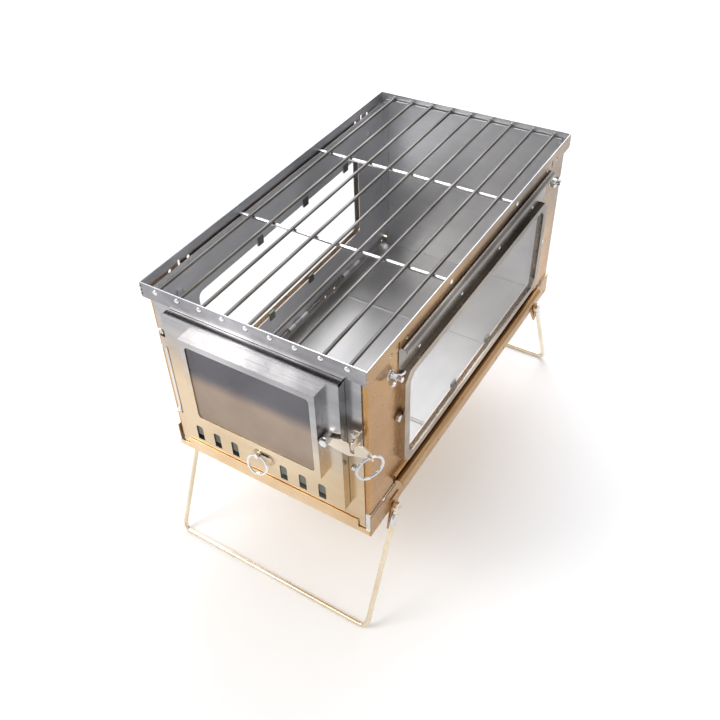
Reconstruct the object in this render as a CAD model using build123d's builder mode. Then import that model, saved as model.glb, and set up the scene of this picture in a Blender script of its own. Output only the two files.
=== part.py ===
from build123d import *
import os
from math import cos, radians, sin, sqrt

# Folding titanium stove, millimetres
# The origin is on the ground under the middle of the stove
# +X is to the right of the door, -Y is the door side, +Z is up
os.makedirs("parts", exist_ok=True)

# Tray
tray_base = 126.0
tray_width = 229.0
tray_length = 421.0
tray_sheet = 1.0
tray_bend = 2.0
end_lip = 17.0
corner_lip = 8.0
corner_lip_width = 13.5
side_lip = 28.4
curl_half_length = 165.0
curl_radius = 4.75
curl_top = 36.8
bead_places = (-61.0, 83.0)
bead_half_width = 2.6
bead_height = 0.8
bead_half_length = 95.0
lip_hole_radius = 1.5
lip_hole_height = 4.6
lip_hole_pairs = (-66.0, 75.0)
lip_hole_half_pitch = 10.2
lip_hole_end = 204.0
lip_notch_place = 185.0
lip_notch_width = 4.0
lip_notch_depth = 3.0

# Small round bars, heads and sleeves are cut with this many sides
bar_sides = 8
head_sides = 10

# Clearances
seat = 0.05
shaft = 0.05
swing = 0.3
panel_gap = 0.5
panel_lift = 0.2

# Panels
panel_sheet = 1.0
end_panel_width = 216.0
side_flange = 8.0
side_bend = 2.5
right_fold_height = 28.0
left_fold_height = 13.0
fold_axis_inset = 2.5
fold_rod_radius = 1.5
knuckle_radius = 2.75
knuckle_length = 12.0
fold_places = (-120.0, 0.0, 120.0)
panel_bead_radius = 2.6
panel_bead_height = 38.6

# Grate
grate_top = 212.0
band_height = 16.0
band_sheet = 1.0
band_gap = 2.0
rod_radius = 1.75
rod_drop = 5.0
rod_count = 9
rod_pitch = 24.5
peen_radius = 2.3
peen_height = 0.6
cross_rod_radius = 1.75
cross_rod_place = 70.5
peg_count = 3
peg_height = 2.4
peg_pitch = 4.4
hook_place = 162.0
hook_pitch = 13.0
hook_hole_radius = 2.0
hook_slot_width = 3.0
hook_slot_height = 9.0
hook_drop = 12.0

# Side windows
window_length = 312.0
window_base = 48.0
window_height = 115.0
window_depth = 6.0
window_lip = 8.0
window_corner = 9.0
window_sheet = 1.0
side_glass_thickness = 4.0
glass_cover = 4.5
rail_half_length = 158.5
rail_sheet = 0.8
rail_roll_radius = 4.4
rail_clearance = 0.8
rail_rivet_places = (-123.0, -41.0, 41.0, 123.0)
rail_rivet_rise = 6.0
rivet_radius = 2.0
rivet_height = 0.9
side_clip_width = 9.0
side_clip_sheet = 0.9
top_clip_places = (-47.0, 37.0, 120.0)
base_clip_places = (-43.0, 36.0)

# Wing nuts and small screws on the sides
stud_place = 172.0
stud_rise = 12.0
stud_radius = 2.5
stud_reach = 12.0
stud_head_radius = 4.2
stud_head_height = 2.4
washer_radius = 5.2
washer_thickness = 0.8
nut_hub_radius = 4.4
nut_hub_height = 6.0
nut_hub_collar = 1.8
wing_reach = 11.5
wing_thickness = 2.0
wing_end_radius = 3.4
wing_rise = 5.8
front_screw_place = 160.5
front_screw_height = 115.0
rear_screw_place = 161.5
rear_screw_height = 103.0
screw_head_radius = 3.6
screw_head_height = 3.2
screw_tail_radius = 1.5

# Door
door_left = -91.0
door_width = 184.0
door_base = 34.5
door_height = 156.1
door_depth = 9.1
door_sheet = 0.8
door_corner_gap = 0.5
door_standoff = 0.4
opening_margin = 7.0
glass_left_margin = 24.5
glass_right_margin = 17.5
glass_base_margin = 43.0
glass_top_margin = 11.6
glass_frame_depth = 9.0
glass_frame_lip = 6.0
door_glass_thickness = 4.0
door_glass_gap = 1.2
glass_corner = 4.0
door_clip_width = 9.0
door_clip_sheet = 0.8
door_clip_foot = 3.2
door_clip_places = (0.28, 0.72)

# Door hinge
hinge_offset = 7.0
hinge_depth = 5.0
hinge_rod_radius = 1.5
hinge_rod_base = 49.0
hinge_rod_top = 162.0
door_knuckle_length = 11.5
hinge_knuckle_radius = 2.75
ear_low = 64.0
ear_high = 148.6
ear_thickness = 1.2
ear_radius = 3.9
ear_base_width = 11.0
ear_base_height = 18.0
ear_base_sheet = 1.0

# Air inlet
slot_centre = -2.0
slot_places = (28.3, 49.6, 71.0)
slot_width = 8.0
slot_height = 19.0
slot_base = 3.0
slot_corner = 2.6
slider_length = 157.0
slider_height = 22.0
slider_rise = 9.0
slider_sheet = 1.0
slider_travel = 9.0
slider_lead = 1.5
window_rise = 13.0
post_place = 0.5
post_rise = 25.5
post_neck_radius = 2.0
post_radius = 2.6
post_length = 6.0
post_hole_radius = 1.4
guide_width = 9.0
guide_sheet = 0.9
guide_half_pitch = 15.0
pull_ring_radius = 11.0
ring_wire_radius = 0.9
pull_ring_tilt = 12.0

# Latch
latch_left = 171.0
latch_rise = 91.5
latch_bolt_radius = 2.5
latch_head_radius = 4.1
latch_head_height = 3.6
latch_washer_radius = 4.2
latch_spacer = 2.6
latch_washer_thickness = 0.7
lever_sheet = 1.0
lever_neck = 4.1
lever_length = 46.6
lever_hole_radius = 2.2
lever_hole_reach = 42.4
lever_hole_rise = 3.4
lever_underside = ((0.322, -0.139), (0.472, -0.15), (0.622, -0.077), (0.901, -0.009))
lever_tip = ((1.0, -0.03), (0.936, 0.172), (0.798, 0.253), (0.687, 0.24))
lever_hump = ((0.442, 0.197), (0.322, 0.182))
notch_left_rise = 0.18
notch_right_rise = 0.15
notch_start = 23.2
notch_width = 4.8
notch_bottom = -2.0
catch_offset = 25.2
catch_sheet = 1.2
catch_low = 1.5
catch_high = 10.5
catch_reach = 14.0
latch_ring_radius = 12.6
latch_ring_yaw = 58.0
stop_offset = 18.3
stop_drop = 37.3
stop_radius = 2.4
stop_height = 2.6

# Legs
wire_radius = 2.5
leg_pivot_place = 170.5
leg_pivot_height = 4.6
leg_spread = 61.0
leg_offset = 4.5
leg_bend = 9.0
eye_radius = 5.0
pivot_pin_radius = 1.5
pivot_head_radius = 2.4
pivot_head_height = 1.2
bracket_sheet = 1.0
bracket_length = 15.0
bracket_shift = 3.0
bracket_top = 16.0
bracket_height = 12.0
bracket_tip_radius = 3.2
bracket_reach = 26.0
ferrule_wall = 0.45
ferrule_start = 7.5
ferrule_length = 13.0

# Places that follow from the sizes
stud_height = window_base + window_height + stud_rise
tray_half_width = tray_width / 2
tray_half_length = tray_length / 2
floor_top = tray_base + tray_sheet
side_face = tray_half_width - tray_sheet - panel_gap
end_face = tray_half_length - tray_sheet - panel_gap
side_end = end_face - panel_sheet - swing
top_of_grate = tray_base + grate_top
band_base = top_of_grate - band_height
band_x = side_face + band_gap + band_sheet
band_y = end_face + band_gap + band_sheet
rod_height = top_of_grate - rod_drop
cross_rod_height = rod_height - rod_radius - cross_rod_radius - seat
end_panel_top = rod_height - rod_radius - seat
side_panel_top = cross_rod_height - peen_radius - swing
fold_axis_x = side_face - fold_axis_inset
right_fold_axis = tray_base + right_fold_height
left_fold_axis = tray_base + left_fold_height
knuckle_bore = fold_rod_radius + shaft
knuckle_step = knuckle_length + 2 * swing
door_back = end_face + door_standoff
door_front = door_back + door_depth
door_right = door_left + door_width
door_bottom = tray_base + door_base
door_top = door_bottom + door_height
door_middle = door_left + door_width / 2


# A level plane at a height above the ground
def lifted(height):
    return Plane.XY.offset(height)


# Tray with its lips, rolled edges and fold knuckles
curl_height = tray_base + curl_top - curl_radius
curl_x = tray_half_width - tray_sheet + curl_radius
bead_radius = (bead_half_width**2 + bead_height**2) / (2 * bead_height)
bead_height_centre = floor_top + bead_height - bead_radius
with BuildPart() as base_tray:
    with BuildSketch(Plane.XY.offset(tray_base)):
        Rectangle(tray_width, tray_length)
    extrude(amount=curl_height - tray_base)
    fillet(base_tray.faces().sort_by(Axis.Z)[0].edges(), tray_bend)
    offset(amount=-tray_sheet, openings=base_tray.faces().sort_by(Axis.Z)[-1])
    # End lips stand lower than the sides and step down at the corners
    with BuildSketch(
        Plane.XZ.offset(tray_half_length - tray_sheet),
        Plane.XZ.offset(-tray_half_length - tray_sheet),
    ) as end_cut:
        with Locations((0, tray_base + corner_lip)):
            Rectangle(2 * tray_width, 2 * grate_top, align=(Align.CENTER, Align.MIN))
        with Locations((0, tray_base)):
            Rectangle(
                tray_width - 2 * corner_lip_width,
                2 * end_lip,
                align=(Align.CENTER, Align.CENTER),
                mode=Mode.SUBTRACT,
            )
    extrude(amount=2 * tray_sheet, mode=Mode.SUBTRACT)
    # Side lips are rolled along the middle and plain at the ends
    with BuildSketch(Plane.YZ) as side_cut:
        with Locations((0, tray_base + side_lip)):
            Rectangle(2 * tray_length, grate_top, align=(Align.CENTER, Align.MIN))
            Rectangle(
                2 * curl_half_length,
                grate_top,
                align=(Align.CENTER, Align.MIN),
                mode=Mode.SUBTRACT,
            )
    extrude(amount=tray_width, both=True, mode=Mode.SUBTRACT)
    with BuildSketch(Plane.XZ) as curl_section:
        with Locations((curl_x, curl_height)):
            Circle(curl_radius)
            Circle(curl_radius - tray_sheet, mode=Mode.SUBTRACT)
            Rectangle(
                2 * curl_radius,
                curl_radius,
                align=(Align.CENTER, Align.MAX),
                mode=Mode.SUBTRACT,
            )
        mirror(about=Plane.YZ)
    extrude(amount=curl_half_length, both=True)
    # Pressed beads across the floor
    with BuildSketch(Plane.YZ) as bead_section:
        with Locations(*[(y, bead_height_centre) for y in bead_places]):
            Circle(bead_radius)
        with Locations((0, floor_top)):
            Rectangle(
                tray_length,
                2 * bead_height,
                align=(Align.CENTER, Align.MIN),
                mode=Mode.INTERSECT,
            )
    extrude(amount=bead_half_length, both=True)
    with BuildSketch(Plane.YZ) as bead_groove:
        with Locations(*[(y, bead_height_centre) for y in bead_places]):
            Circle(bead_radius - tray_sheet)
        with Locations((0, tray_base)):
            Rectangle(
                tray_length,
                2 * bead_height,
                align=(Align.CENTER, Align.MIN),
                mode=Mode.INTERSECT,
            )
    extrude(amount=bead_half_length - tray_sheet, both=True, mode=Mode.SUBTRACT)
    # Knuckles inside the side lips carry the fold rods
    with BuildSketch(
        *[Plane.XZ.offset(-y - knuckle_length / 2) for y in fold_places]
    ) as tray_knuckles:
        with Locations((fold_axis_x, right_fold_axis), (-fold_axis_x, left_fold_axis)):
            RegularPolygon(knuckle_radius, 2 * head_sides)
        with Locations((tray_half_width - tray_sheet, right_fold_axis)):
            Rectangle(
                fold_axis_inset + panel_gap,
                knuckle_radius,
                align=(Align.MAX, Align.MAX),
            )
        with Locations((tray_sheet - tray_half_width, left_fold_axis)):
            Rectangle(
                fold_axis_inset + panel_gap,
                knuckle_radius,
                align=(Align.MIN, Align.MAX),
            )
        with Locations((fold_axis_x, right_fold_axis), (-fold_axis_x, left_fold_axis)):
            Circle(knuckle_bore, mode=Mode.SUBTRACT)
    extrude(amount=knuckle_length)
    # Small holes and notches in the side lips
    with BuildSketch(Plane.YZ) as lip_holes:
        with Locations(*[(y, tray_base + lip_hole_height) for y in lip_hole_pairs]):
            with Locations((-lip_hole_half_pitch, 0), (lip_hole_half_pitch, 0)):
                RegularPolygon(lip_hole_radius, head_sides)
        with Locations(
            (-lip_hole_end, tray_base + lip_hole_height),
            (lip_hole_end, tray_base + lip_hole_height),
        ):
            RegularPolygon(lip_hole_radius, head_sides)
        with Locations(
            (-lip_notch_place, tray_base + side_lip),
            (lip_notch_place, tray_base + side_lip),
        ):
            Rectangle(lip_notch_width, 2 * lip_notch_depth)
        with Locations(
            (-leg_pivot_place, tray_base + leg_pivot_height),
            (leg_pivot_place, tray_base + leg_pivot_height),
        ):
            Circle(pivot_pin_radius + shaft)
    extrude(amount=tray_width, both=True, mode=Mode.SUBTRACT)
base_tray.part.label = "base_tray"
export_step(base_tray.part, "parts/base_tray.step")

# Fold rods in the knuckles of the two sides
rod_end = max(fold_places) + 1.5 * knuckle_length + 2 * swing
with BuildPart() as right_fold_rod:
    with BuildSketch(Plane.XZ):
        with Locations((fold_axis_x, right_fold_axis)):
            Circle(fold_rod_radius)
    extrude(amount=rod_end, both=True)
right_fold_rod.part.label = "right_fold_rod"
export_step(right_fold_rod.part, "parts/right_fold_rod.step")

with BuildPart() as left_fold_rod:
    with BuildSketch(Plane.XZ):
        with Locations((-fold_axis_x, left_fold_axis)):
            Circle(fold_rod_radius)
    extrude(amount=rod_end, both=True)
left_fold_rod.part.label = "left_fold_rod"
export_step(left_fold_rod.part, "parts/left_fold_rod.step")

# Door window sizes, shared by the door, its frame and its glass
glass_frame_left = door_left + glass_left_margin
glass_frame_right = door_right - glass_right_margin
glass_frame_bottom = door_bottom + glass_base_margin
glass_frame_top = door_top - glass_top_margin
glass_frame_width = glass_frame_right - glass_frame_left
glass_frame_height = glass_frame_top - glass_frame_bottom
glass_centre = (
    (glass_frame_left + glass_frame_right) / 2,
    (glass_frame_bottom + glass_frame_top) / 2,
)
view_width = glass_frame_width - 2 * glass_frame_lip
view_height = glass_frame_height - 2 * glass_frame_lip - 1.5

# Front panel with the opening that the door covers
opening_width = door_width - 2 * opening_margin
opening_height = door_height - 2 * opening_margin
door_centre = (door_middle, (door_bottom + door_top) / 2)
with BuildPart() as front_panel:
    with BuildSketch(Plane.XZ.offset(end_face - panel_sheet)):
        with Locations((0, floor_top + panel_lift)):
            Rectangle(
                end_panel_width,
                end_panel_top - floor_top - panel_lift,
                align=(Align.CENTER, Align.MIN),
            )
        with Locations(door_centre):
            RectangleRounded(
                opening_width, opening_height, glass_corner, mode=Mode.SUBTRACT
            )
    extrude(amount=panel_sheet)
front_panel.part.label = "front_panel"
export_step(front_panel.part, "parts/front_panel.step")

# Rear panel
with BuildPart() as rear_panel:
    with BuildSketch(Plane.XZ.offset(-end_face)):
        with Locations((0, floor_top + panel_lift)):
            Rectangle(
                end_panel_width,
                end_panel_top - floor_top - panel_lift,
                align=(Align.CENTER, Align.MIN),
            )
    extrude(amount=panel_sheet)
rear_panel.part.label = "rear_panel"
export_step(rear_panel.part, "parts/rear_panel.step")


# Side panel as it stands on the right, for a fold axis at the given height
window_bottom = tray_base + window_base
window_top = window_bottom + window_height
window_centre = (0, (window_bottom + window_top) / 2)
view_length = window_length - 2 * (window_lip + 1)
view_rise = window_height - 2 * window_lip + 1
panel_view_length = view_length + 2
panel_view_rise = view_rise + 2


def side_panel(fold_axis):
    with BuildPart() as panel:
        with BuildSketch(Plane.XY.offset(fold_axis)) as section:
            with Locations((side_face, 0)):
                Rectangle(
                    side_flange, 2 * side_end, align=(Align.MAX, Align.CENTER)
                )
            fillet(section.vertices().sort_by(Axis.X)[-2:], side_bend)
            with Locations((side_face - panel_sheet, 0)):
                Rectangle(
                    2 * side_flange,
                    2 * (side_end - panel_sheet),
                    align=(Align.MAX, Align.CENTER),
                    mode=Mode.SUBTRACT,
                )
        extrude(amount=side_panel_top - fold_axis)
        with BuildSketch(Plane.YZ) as cutouts:
            with Locations(window_centre):
                RectangleRounded(panel_view_length, panel_view_rise, window_corner - 2)
            with Locations(
                (-stud_place, tray_base + stud_height),
                (stud_place, tray_base + stud_height),
            ):
                Circle(stud_radius + shaft)
            with Locations(
                (-front_screw_place, tray_base + front_screw_height),
                (rear_screw_place, tray_base + rear_screw_height),
            ):
                Circle(screw_tail_radius + shaft)
            with Locations(*[(y, fold_axis) for y in fold_places]):
                Rectangle(knuckle_length + 4 * swing, 2 * (knuckle_radius + swing))
        extrude(amount=2 * side_face, mode=Mode.SUBTRACT)
        # Rolled bead above the rolled edge of the tray
        with BuildSketch(Plane.XZ) as bead:
            with Locations((side_face - panel_sheet, tray_base + panel_bead_height)):
                Circle(panel_bead_radius + panel_sheet / 2)
                Circle(panel_bead_radius - panel_sheet / 2, mode=Mode.SUBTRACT)
                Rectangle(
                    2 * panel_bead_radius,
                    4 * panel_bead_radius,
                    align=(Align.MAX, Align.CENTER),
                    mode=Mode.SUBTRACT,
                )
        extrude(amount=curl_half_length, both=True)
        # Knuckles on both sides of each tray knuckle
        knuckle_ends = [y + s * knuckle_step for y in fold_places for s in (-1, 1)]
        with BuildSketch(
            *[Plane.XZ.offset(-y - knuckle_length / 2) for y in knuckle_ends]
        ):
            with Locations((fold_axis_x, fold_axis)):
                RegularPolygon(knuckle_radius, 2 * head_sides)
                Circle(knuckle_bore, mode=Mode.SUBTRACT)
        extrude(amount=knuckle_length)
        with BuildSketch(
            *[Plane.XZ.offset(-y - knuckle_length / 2) for y in knuckle_ends]
        ):
            with Locations((fold_axis_x, fold_axis)):
                Circle(knuckle_bore)
        extrude(amount=knuckle_length, mode=Mode.SUBTRACT)
    return panel.part


with BuildPart() as right_panel:
    add(side_panel(right_fold_axis))
right_panel.part.label = "right_panel"
export_step(right_panel.part, "parts/right_panel.step")

with BuildPart() as left_panel:
    mirror(side_panel(left_fold_axis), about=Plane.YZ)
left_panel.part.label = "left_panel"
export_step(left_panel.part, "parts/left_panel.step")

# Raised window frame, a box of sheet with cut corners and a wide lip
with BuildPart() as right_window_frame:
    with BuildSketch(Plane.YZ.offset(side_face)) as frame_outline:
        with Locations(window_centre):
            Rectangle(window_length, window_height)
        chamfer(frame_outline.vertices(), window_corner)
    extrude(amount=window_depth)
    offset(
        amount=-window_sheet,
        openings=right_window_frame.faces().sort_by(Axis.X)[0],
    )
    with BuildSketch(Plane.YZ.offset(side_face)) as view_outline:
        with Locations(window_centre):
            Rectangle(view_length, view_rise)
        chamfer(view_outline.vertices(), window_corner - 2)
    extrude(amount=2 * window_depth, mode=Mode.SUBTRACT)
right_window_frame.part.label = "right_window_frame"
export_step(right_window_frame.part, "parts/right_window_frame.step")

with BuildPart() as left_window_frame:
    mirror(right_window_frame.part, about=Plane.YZ)
left_window_frame.part.label = "left_window_frame"
export_step(left_window_frame.part, "parts/left_window_frame.step")

# Side glass behind the frame
with BuildPart() as right_glass:
    with BuildSketch(Plane.YZ.offset(side_face + swing)) as glass_outline:
        with Locations(window_centre):
            Rectangle(view_length + 2 * glass_cover, view_rise + 2 * glass_cover)
        chamfer(glass_outline.vertices(), window_corner - 1)
    extrude(amount=side_glass_thickness)
right_glass.part.label = "right_glass"
export_step(right_glass.part, "parts/right_glass.step")

with BuildPart() as left_glass:
    mirror(right_glass.part, about=Plane.YZ)
left_glass.part.label = "left_glass"
export_step(left_glass.part, "parts/left_glass.step")

# Clips inside the panel hold the glass out against its frame
clip_top = window_centre[1] + panel_view_rise / 2
clip_low = window_centre[1] - panel_view_rise / 2
clip_grip = 4.0
clip_foot = 6.0
with BuildPart() as right_glass_clips:
    with BuildSketch(Plane.YZ.offset(side_face - panel_sheet - side_clip_sheet)):
        with Locations(*[(y, clip_top + clip_foot) for y in top_clip_places]):
            Rectangle(
                side_clip_width,
                clip_foot + clip_grip,
                align=(Align.CENTER, Align.MAX),
            )
        with Locations(*[(y, clip_low - clip_foot) for y in base_clip_places]):
            Rectangle(
                side_clip_width,
                clip_foot + clip_grip,
                align=(Align.CENTER, Align.MIN),
            )
    extrude(amount=side_clip_sheet)
    with BuildSketch(Plane.YZ.offset(side_face - panel_sheet)):
        with Locations(*[(y, clip_top - seat) for y in top_clip_places]):
            Rectangle(
                side_clip_width, clip_grip - seat, align=(Align.CENTER, Align.MAX)
            )
        with Locations(*[(y, clip_low + seat) for y in base_clip_places]):
            Rectangle(
                side_clip_width, clip_grip - seat, align=(Align.CENTER, Align.MIN)
            )
    extrude(amount=panel_sheet + swing - seat)
right_glass_clips.part.label = "right_glass_clips"
export_step(right_glass_clips.part, "parts/right_glass_clips.step")

with BuildPart() as left_glass_clips:
    mirror(right_glass_clips.part, about=Plane.YZ)
left_glass_clips.part.label = "left_glass_clips"
export_step(left_glass_clips.part, "parts/left_glass_clips.step")

# Top rail, a strip on the panel that rolls outwards along its top edge
rail_base = window_top + swing
rail_top = band_base - rail_clearance
roll_height = rail_top - rail_roll_radius
roll_x = side_face + rail_roll_radius
with BuildPart() as right_top_rail:
    with BuildSketch(Plane.XZ):
        with Locations((roll_x, roll_height)):
            Circle(rail_roll_radius)
            Circle(rail_roll_radius - rail_sheet, mode=Mode.SUBTRACT)
            Rectangle(
                2 * rail_roll_radius,
                2 * rail_roll_radius,
                rotation=-35,
                align=(Align.MIN, Align.MAX),
                mode=Mode.SUBTRACT,
            )
            Rectangle(
                2 * rail_roll_radius,
                rail_roll_radius,
                align=(Align.CENTER, Align.MAX),
                mode=Mode.SUBTRACT,
            )
        with Locations((side_face, rail_base)):
            Rectangle(
                rail_sheet, roll_height - rail_base, align=(Align.MIN, Align.MIN)
            )
    extrude(amount=rail_half_length, both=True)
right_top_rail.part.label = "right_top_rail"
export_step(right_top_rail.part, "parts/right_top_rail.step")

with BuildPart() as left_top_rail:
    mirror(right_top_rail.part, about=Plane.YZ)
left_top_rail.part.label = "left_top_rail"
export_step(left_top_rail.part, "parts/left_top_rail.step")

# Rivets through the rail
with BuildPart() as right_rail_rivets:
    with BuildSketch(Plane.YZ.offset(side_face + rail_sheet)):
        with Locations(*[(y, rail_base + rail_rivet_rise) for y in rail_rivet_places]):
            RegularPolygon(rivet_radius, head_sides)
    extrude(amount=rivet_height, taper=20)
right_rail_rivets.part.label = "right_rail_rivets"
export_step(right_rail_rivets.part, "parts/right_rail_rivets.step")

with BuildPart() as left_rail_rivets:
    mirror(right_rail_rivets.part, about=Plane.YZ)
left_rail_rivets.part.label = "left_rail_rivets"
export_step(left_rail_rivets.part, "parts/left_rail_rivets.step")

# Studs for the wing nuts, their heads inside the panel
stud_spots = [
    (-stud_place, tray_base + stud_height),
    (stud_place, tray_base + stud_height),
]
with BuildPart() as right_wing_studs:
    with BuildSketch(Plane.YZ.offset(side_face - panel_sheet - stud_head_height)):
        with Locations(*stud_spots):
            RegularPolygon(stud_head_radius, 6)
    extrude(amount=stud_head_height)
    with BuildSketch(Plane.YZ.offset(side_face - panel_sheet)):
        with Locations(*stud_spots):
            Circle(stud_radius)
    extrude(amount=panel_sheet + stud_reach)
    chamfer(
        right_wing_studs.faces().sort_by(Axis.X)[-2:].edges(), stud_radius / 5
    )
right_wing_studs.part.label = "right_wing_studs"
export_step(right_wing_studs.part, "parts/right_wing_studs.step")

with BuildPart() as left_wing_studs:
    mirror(right_wing_studs.part, about=Plane.YZ)
left_wing_studs.part.label = "left_wing_studs"
export_step(left_wing_studs.part, "parts/left_wing_studs.step")

# Washers under the wing nuts
with BuildPart() as right_wing_washers:
    with BuildSketch(Plane.YZ.offset(side_face)):
        with Locations(*stud_spots):
            RegularPolygon(washer_radius, 2 * head_sides)
            Circle(stud_radius + shaft, mode=Mode.SUBTRACT)
    extrude(amount=washer_thickness)
right_wing_washers.part.label = "right_wing_washers"
export_step(right_wing_washers.part, "parts/right_wing_washers.step")

with BuildPart() as left_wing_washers:
    mirror(right_wing_washers.part, about=Plane.YZ)
left_wing_washers.part.label = "left_wing_washers"
export_step(left_wing_washers.part, "parts/left_wing_washers.step")

# Wing nut, a turned hub with two wings that lean outwards
nut_base = side_face + washer_thickness + seat
nut_origin = (nut_base, -stud_place, tray_base + stud_height)
wing_centre = wing_reach - wing_end_radius
with BuildPart() as right_front_wing_nut:
    with BuildSketch(Plane.YZ.offset(nut_base)):
        with Locations((-stud_place, tray_base + stud_height)):
            RegularPolygon(nut_hub_radius, head_sides)
    extrude(amount=nut_hub_collar)
    with BuildSketch(Plane.YZ.offset(nut_base + nut_hub_collar)):
        with Locations((-stud_place, tray_base + stud_height)):
            RegularPolygon(nut_hub_radius, head_sides)
    extrude(amount=nut_hub_height - nut_hub_collar, taper=12)
    with BuildSketch(
        Plane(nut_origin, x_dir=(0, 1, 0), z_dir=(0, 0, -1))
    ) as wing_outline:
        for hand in (-1, 1):
            with BuildLine():
                Polyline(
                    (0, nut_hub_height / 10),
                    (hand * wing_centre, wing_rise - wing_end_radius),
                    (hand * wing_centre, wing_rise + wing_end_radius),
                    (0, nut_hub_height),
                    close=True,
                )
            make_face()
            with Locations((hand * wing_centre, wing_rise)):
                RegularPolygon(wing_end_radius, 2 * head_sides)
    extrude(amount=wing_thickness / 2, both=True)
    with BuildSketch(Plane.YZ.offset(side_face)):
        with Locations((-stud_place, tray_base + stud_height)):
            Circle(stud_radius + shaft)
    extrude(amount=4 * nut_hub_height, mode=Mode.SUBTRACT)
right_front_wing_nut.part.label = "right_front_wing_nut"
export_step(right_front_wing_nut.part, "parts/right_front_wing_nut.step")

with BuildPart() as right_rear_wing_nut:
    mirror(right_front_wing_nut.part, about=Plane.XZ)
right_rear_wing_nut.part.label = "right_rear_wing_nut"
export_step(right_rear_wing_nut.part, "parts/right_rear_wing_nut.step")

with BuildPart() as left_front_wing_nut:
    mirror(right_front_wing_nut.part, about=Plane.YZ)
left_front_wing_nut.part.label = "left_front_wing_nut"
export_step(left_front_wing_nut.part, "parts/left_front_wing_nut.step")

with BuildPart() as left_rear_wing_nut:
    mirror(right_rear_wing_nut.part, about=Plane.YZ)
left_rear_wing_nut.part.label = "left_rear_wing_nut"
export_step(left_rear_wing_nut.part, "parts/left_rear_wing_nut.step")

# Small screws beside the window frame
screw_spots = [
    (-front_screw_place, tray_base + front_screw_height),
    (rear_screw_place, tray_base + rear_screw_height),
]
with BuildPart() as right_small_screws:
    with BuildSketch(Plane.YZ.offset(side_face - panel_sheet - rivet_height)):
        with Locations(*screw_spots):
            Circle(screw_tail_radius)
    extrude(amount=panel_sheet + rivet_height)
    with BuildSketch(Plane.YZ.offset(side_face)):
        with Locations(*screw_spots):
            RegularPolygon(screw_head_radius, 2 * head_sides)
    extrude(amount=screw_head_height)
    with BuildSketch(Plane.YZ.offset(side_face + screw_head_height)):
        with Locations(*screw_spots):
            Circle(screw_tail_radius)
    extrude(amount=rivet_height)
right_small_screws.part.label = "right_small_screws"
export_step(right_small_screws.part, "parts/right_small_screws.step")

with BuildPart() as left_small_screws:
    mirror(right_small_screws.part, about=Plane.YZ)
left_small_screws.part.label = "left_small_screws"
export_step(left_small_screws.part, "parts/left_small_screws.step")

# Door, a shallow tray with its rim towards the stove
slot_spots = [
    slot_centre + hand * place for hand in (-1, 1) for place in slot_places
]
slot_bottom = door_bottom + slot_base
post_height = door_bottom + post_rise
slider_bottom = door_bottom + slider_rise
latch_x = door_left + latch_left
latch_z = door_bottom + latch_rise
with BuildPart() as door_plate:
    with BuildSketch(Plane.XZ.offset(door_back)):
        with Locations(door_centre):
            Rectangle(door_width, door_height)
    extrude(amount=door_depth)
    offset(
        amount=-door_sheet,
        openings=door_plate.faces().sort_by(Axis.Y)[-1],
    )
    # The folded rims don't meet at the corners
    with BuildSketch(Plane.XZ.offset(door_back - door_sheet)) as corner_slits:
        with Locations(door_centre):
            with GridLocations(door_width, door_height, 2, 2):
                Rectangle(
                    2 * (door_sheet + door_corner_gap), 2 * (door_sheet + door_corner_gap)
                )
    extrude(amount=door_depth, mode=Mode.SUBTRACT)
    with BuildSketch(Plane.XZ.offset(door_back)) as door_holes:
        with Locations(glass_centre):
            RectangleRounded(view_width + 2, view_height + 2, glass_corner)
        with Locations(*[(x, slot_bottom) for x in slot_spots]):
            Rectangle(slot_width, slot_height, align=(Align.CENTER, Align.MIN))
        with Locations((post_place + slider_travel / 2, post_height)):
            SlotCenterToCenter(slider_travel, 2 * (post_neck_radius + shaft))
        with Locations((latch_x, latch_z)):
            Circle(latch_bolt_radius + shaft)
        slot_tops = door_holes.vertices().filter_by_position(
            Axis.Y, slot_bottom + slot_height - 0.1, slot_bottom + slot_height + 0.1
        )
        fillet(slot_tops, slot_corner)
    extrude(amount=door_depth, mode=Mode.SUBTRACT)
    # Rolled knuckles on the left rim
    hinge_x = door_left - hinge_offset
    hinge_y = -(end_face + hinge_depth)
    low_knuckle = tray_base + ear_low - ear_thickness / 2 - swing - door_knuckle_length
    high_knuckle = tray_base + ear_high + ear_thickness / 2 + swing
    with BuildSketch(lifted(low_knuckle), lifted(high_knuckle)):
        with Locations((hinge_x, hinge_y)):
            Circle(hinge_knuckle_radius)
        with Locations((hinge_x, hinge_y - hinge_knuckle_radius)):
            Rectangle(
                hinge_offset + door_sheet, door_sheet, align=(Align.MIN, Align.MIN)
            )
        with Locations((hinge_x, hinge_y)):
            Circle(hinge_rod_radius + shaft, mode=Mode.SUBTRACT)
    extrude(amount=door_knuckle_length)
door_plate.part.label = "door_plate"
export_step(door_plate.part, "parts/door_plate.step")

# Raised frame around the door glass
with BuildPart() as door_glass_frame:
    with BuildSketch(Plane.XZ.offset(door_front)) as door_frame_outline:
        with Locations(glass_centre):
            Rectangle(glass_frame_width, glass_frame_height)
    extrude(amount=glass_frame_depth)
    offset(
        amount=-door_sheet,
        openings=door_glass_frame.faces().sort_by(Axis.Y)[-1],
    )
    with BuildSketch(Plane.XZ.offset(door_front)):
        with Locations(glass_centre):
            RectangleRounded(view_width, view_height, glass_corner)
    extrude(amount=2 * glass_frame_depth, mode=Mode.SUBTRACT)
door_glass_frame.part.label = "door_glass_frame"
export_step(door_glass_frame.part, "parts/door_glass_frame.step")

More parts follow.
